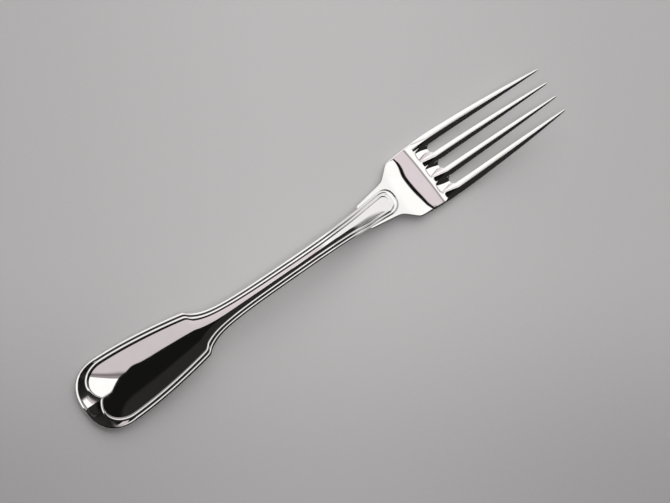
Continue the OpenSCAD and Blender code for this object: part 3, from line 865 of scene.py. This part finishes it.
def table_material():
    """Matt pale board, with painted shade that darkens it towards the near edge and the sides of the picture.
    """
    mat = bpy.data.materials.new("table_paint_with_painted_shade")
    mat.use_nodes = True
    tree = Tree(mat.node_tree)
    shader = mat.node_tree.nodes["Principled BSDF"]
    place = tree.add("ShaderNodeTexCoord").outputs["Object"]
    split = tree.add("ShaderNodeSeparateXYZ", {"Vector": place})
    x, y = split.outputs["X"], split.outputs["Y"]
    upward = tree.weighed(x, AXIS_SIN, y, AXIS_COS)
    sideways = tree.weighed(x, AXIS_COS, y, -AXIS_SIN)
    # Painted shade: darker towards the near edge and the sides of the picture, standing in for the fall of
    # the light
    near = tree.fall(upward, *NEAR_REACH)
    side = tree.ramp(tree.math("ABSOLUTE", sideways), *SIDE_REACH)
    grain = tree.ramp(tree.noise(place, GRAIN_SCALE, GRAIN_DETAIL), *GRAIN_SHADE)
    shade = tree.math("ADD", tree.weighed(near, NEAR_PAINTED_SHADE, side, SIDE_PAINTED_SHADE), grain)
    tree.join(tree.mix(shade, TABLE_TONE, PAINTED_SHADE_DARK), shader.inputs["Base Color"])
    shader.inputs["Roughness"].default_value = TABLE_ROUGH
    shader.inputs["Specular IOR Level"].default_value = TABLE_SPECULAR
    return mat


# Room that polished metal sees. Places in it are degrees by which a surface seen from above leans, doubled:
# along the fork, and aside to +Y. A span is where a tone starts and where it is full, a band has the softness
# of its ends as a third number, and a bend is a span with the shift before it and after it.
LEVEL_ASIDE = -2.5  # a level surface, seen by the tilted camera
WHITE = (1.08, 1.08, 1.07, 1)
BLACK = (0.007, 0.007, 0.006, 1)

# Light side: rose over the handle, paler along the stem, white for steep surfaces and towards the tips
ROSE = (0.63, 0.575, 0.585, 1)
PALE = (0.755, 0.675, 0.705, 1)
PINK = (0.78, 0.72, 0.735, 1)
PALE_ALONG = (-18.5, -9.5)
WHITE_ASIDE = (8, 42)
WHITE_ALONG = (12, 22)
PINK_ALONG = (24, 42, 5)
PINK_ASIDE = (12.5, 18, 1)


def light_side(tree, along, aside):
    colour = tree.mix(tree.ramp(along, *PALE_ALONG), ROSE, PALE)
    colour = tree.layer(colour, WHITE, tree.ramp(aside, *WHITE_ASIDE))
    colour = tree.layer(colour, WHITE, tree.ramp(along, *WHITE_ALONG))
    return tree.layer(colour, PINK, tree.band(along, *PINK_ALONG), tree.band(aside, *PINK_ASIDE))


# Bands across the head: a bent black line, the pale field, a grey line, and white outside them
GREY = (0.36, 0.335, 0.335, 1)
GREY_TILT = 0.2
BLACK_TILT = 0.7
BLACK_BENDS = ((-7.2, -5.6, 2.2, 0.0), (-1.4, 0.6, 0.0, 2.3), (0.9, 2.0, 0.0, -3.4))
BLACK_BAND = (6.8, 10.2, 0.6)
BLACK_FROM = (-12, -9)
BLACK_TO = (2.0, 3.2)
GREY_BAND = (-1.2, -0.5, 0.2)
HEAD_WHITE = (9.1, 10.1)
ROOT_WHITE = (-11, -1.3, 0.3)
BANDS_TO = (4, 8)


def tilted(tree, along, aside, share):
    """Places along the fork for a pattern that lies aslant."""
    from_level = tree.math("SUBTRACT", aside, LEVEL_ASIDE)
    return tree.math("SUBTRACT", along, tree.math("MULTIPLY", from_level, share))


def head_bands(tree, colour, along, aside):
    low = tree.fall(aside, *BANDS_TO)
    line = tree.shifted(tilted(tree, along, aside, BLACK_TILT), aside, BLACK_BENDS)
    colour = tree.layer(colour, WHITE, low, tree.ramp(line, *HEAD_WHITE))
    line_ends = tree.ramp(aside, *BLACK_FROM), tree.fall(aside, *BLACK_TO)
    colour = tree.layer(colour, BLACK, *line_ends, tree.band(line, *BLACK_BAND))
    line = tilted(tree, along, aside, GREY_TILT)
    colour = tree.layer(colour, WHITE, low, tree.band(line, *ROOT_WHITE))
    return tree.layer(colour, GREY, low, tree.band(line, *GREY_BAND))


# The light side over the neck is a little greyer, most of all in the neck's threads
NECK_LIGHT = (0.92, 0.9, 0.9, 1)
NECK_THREADS = (0.78, 0.76, 0.77, 1)
NECK_STEEP = (16, 22)
NECK_ALONG = (18, 26)


def neck_light(tree, colour, along, aside):
    steep = tree.ramp(tree.math("ABSOLUTE", aside), *NECK_STEEP)
    return tree.layer(colour, tree.mix(steep, NECK_LIGHT, NECK_THREADS), tree.ramp(along, *NECK_ALONG))


# Bright window behind the round end, with a grey bar beside it
BAR_LIGHT = (0.316, 0.277, 0.285, 1)
BAR_DARK = (0.196, 0.174, 0.18, 1)
WINDOW_TILT = -0.6
BAR_TONES = (-21.65, -21.25)
BAR_TO = (-21.2, -20.3)
BAR_ASIDE = (4, 6)
WINDOW_TO = (-22.15, -22.05)


def window(tree, colour, along, aside):
    pane = tilted(tree, along, aside, WINDOW_TILT)
    bar = tree.mix(tree.ramp(pane, *BAR_TONES), BAR_LIGHT, BAR_DARK)
    level = tree.fall(tree.math("ABSOLUTE", aside), *BAR_ASIDE)
    colour = tree.layer(colour, bar, level, tree.fall(pane, *BAR_TO))
    return tree.layer(colour, WHITE, tree.fall(pane, *WINDOW_TO))


# Dark side towards -Y, up to an edge that wanders along the fork and falls back at the head
DUSK = (0.022, 0.021, 0.02, 1)
EDGE_START = (-25.4, -22.4, -2.5, 0.0)
EDGE_BENDS = (
    (-22.3, -21.1, 0.0, 0.55),
    (-21.0, -19.8, 0.0, -0.35),
    (-12, -7, 0.0, 1.35),
    (24, 28, 0.0, -3.2),
)
EDGE_HEAD = (-3.6, -2.6, 0.0, -9.0)
EDGE_SOFT = (-0.15, 0.15)
DUSK_TO_BLACK = (-7.2, -6.0)
# On the neck it is grey, with a soft edge, and black again at the end of the tongue
NECK_GREY = (0.5, 0.48, 0.48, 1)
NECK_DARK = (0.25, 0.24, 0.24, 1)
NECK_BENDS = ((-24, -20, 4.0, 0.0), (-14, -12, -1.5, 0.0))
NECK_START = (31.5, 35)
NECK_EDGE = (-17.5, -8)
NECK_TONES = (-24, -18)
TONGUE_BENDS = ((-2, 10, 0.0, 6.0),)
TONGUE_START = (43.5, 46)
TONGUE_FROM = (-12, -2)


def dark_side(tree, colour, along, aside):
    edge = tree.shifted(tree.ramp(along, *EDGE_START), along, EDGE_BENDS)
    edge = tree.shifted(edge, tilted(tree, along, aside, GREY_TILT), [EDGE_HEAD])
    dark = tree.fall(tree.math("SUBTRACT", aside, edge), *EDGE_SOFT)
    shade = tree.mix(tree.ramp(aside, *DUSK_TO_BLACK), DUSK, BLACK)
    neck = tree.ramp(tree.shifted(along, aside, NECK_BENDS), *NECK_START)
    dark = tree.ramp(neck, 0.0, 1.0, dark, tree.fall(aside, *NECK_EDGE), "LINEAR")
    shade = tree.mix(neck, shade, tree.mix(tree.ramp(aside, *NECK_TONES), NECK_GREY, NECK_DARK))
    colour = tree.layer(colour, shade, dark)
    tongue = tree.ramp(tree.shifted(along, aside, TONGUE_BENDS), *TONGUE_START)
    return tree.layer(colour, BLACK, tongue, tree.ramp(aside, *TONGUE_FROM))


# Plain sky that other surfaces see, brighter on the side of the large lamp
SKY_DIM = (0.03, 0.03, 0.03, 1)
SKY_BRIGHT = (2.1, 2.09, 2.08, 1)
SKY_X, SKY_Y = 0.9, 0.44
SKY_RISE = (0.2, 1.0)


def studio_world():
    """Soft plain light. Polished metal sees a pale room with a dark side towards -Y."""
    world = bpy.data.worlds.new("studio")
    world.use_nodes = True
    tree = Tree(world.node_tree)
    ray = tree.add("ShaderNodeTexCoord").outputs["Generated"]
    split = tree.add("ShaderNodeSeparateXYZ", {"Vector": ray})
    x, y, z = (split.outputs[name] for name in "XYZ")
    above = tree.math("ADD", z, 1.0)
    along = tree.math("MULTIPLY", tree.math("ARCTAN2", x, above), math.degrees(2))
    aside = tree.math("MULTIPLY", tree.math("ARCTAN2", y, above), math.degrees(2))
    room = light_side(tree, along, aside)
    for part in (head_bands, neck_light, window, dark_side):
        room = part(tree, room, along, aside)
    sky = tree.mix(tree.ramp(tree.weighed(x, SKY_X, y, SKY_Y), *SKY_RISE), SKY_DIM, SKY_BRIGHT)
    glossy = tree.add("ShaderNodeLightPath").outputs["Is Glossy Ray"]
    tree.join(tree.mix(glossy, sky, room), world.node_tree.nodes["Background"].inputs["Color"])
    return world


# Faces that meet at more than this angle keep a sharp edge
SHARP_ANGLE = math.radians(60)


def add_piece(name, shell, material):
    piece = bpy.data.objects.new(name, shell.mesh(name))
    bpy.context.scene.collection.objects.link(piece)
    piece.data.materials.append(material)
    piece.data.shade_smooth()
    piece.data.set_sharp_from_angle(angle=SHARP_ANGLE)
    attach(piece, "root")
    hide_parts(name.removeprefix("silver_"))


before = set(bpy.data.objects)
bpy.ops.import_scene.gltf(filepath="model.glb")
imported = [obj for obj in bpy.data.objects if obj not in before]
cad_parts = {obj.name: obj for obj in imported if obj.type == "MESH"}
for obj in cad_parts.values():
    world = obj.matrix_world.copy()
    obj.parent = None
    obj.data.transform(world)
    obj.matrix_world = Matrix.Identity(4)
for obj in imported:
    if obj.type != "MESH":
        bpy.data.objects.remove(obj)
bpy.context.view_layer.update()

# Fork
silver = silver_material()
add_piece("silver_handle", handle_shell(), silver)
add_piece("silver_stem", stem_shell(), silver)
add_piece("silver_heel", heel_shell(), silver)
add_piece("silver_head", head_shell(), silver)
for number in range(len(TINE_ROOTS)):
    add_piece(f"silver_tine_{number + 1}", tine_shell(number), silver)

# Table
bpy.ops.mesh.primitive_plane_add(size=TABLE_SIZE, location=(0, 0, 0))
floor = bpy.context.object
floor.name = "table"
floor.data.materials.append(table_material())

# Camera: almost straight down, with the fork from lower left to upper right
PHOTO_W = 670
PX_MM = 0.3085
CAMERA_FAR = 1.5
CAMERA_TILT = math.radians(2.5)
CAMERA_AIM = Vector((0.0043, -0.0034, 0.006))
SENSOR_W = 36.0
VIEW_END = 20.0
back = Vector((0, math.sin(CAMERA_TILT), math.cos(CAMERA_TILT)))
up = Vector((AXIS_SIN, AXIS_COS, 0))
up = (up - up.dot(back) * back).normalized()
right = up.cross(back)
camera_at = CAMERA_AIM + back * CAMERA_FAR
cam_data = bpy.data.cameras.new("camera")
cam_data.sensor_width = SENSOR_W
cam_data.lens = CAMERA_FAR / (PX_MM * MM * PHOTO_W) * SENSOR_W
cam_data.clip_end = VIEW_END
camera = bpy.data.objects.new("camera", cam_data)
bpy.context.scene.collection.objects.link(camera)
camera.matrix_world = Matrix([(right[i], up[i], back[i], camera_at[i]) for i in range(3)] + [(0, 0, 0, 1)])
bpy.context.scene.camera = camera
bpy.context.scene.view_settings.view_transform = "Standard"

# Light: a plain sky, a wide lamp on the side of the tips that gives the soft shadow, and a lamp overhead
LAMPS = (
    ("window", 2.5, 34.0, (1.25, 0.8, 1.55)),
    ("overhead", 0.5, 6.0, (0.0, 0.0, 1.6)),
)
bpy.context.scene.world = studio_world()
for name, size, energy, place in LAMPS:
    lamp_data = bpy.data.lights.new(name, "AREA")
    lamp_data.shape = "DISK"
    lamp_data.size = size
    lamp_data.energy = energy
    lamp = bpy.data.objects.new(name, lamp_data)
    bpy.context.scene.collection.objects.link(lamp)
    lamp.location = place
    lamp.rotation_euler = (-lamp.location).to_track_quat("-Z", "Y").to_euler()
    lamp.visible_glossy = False
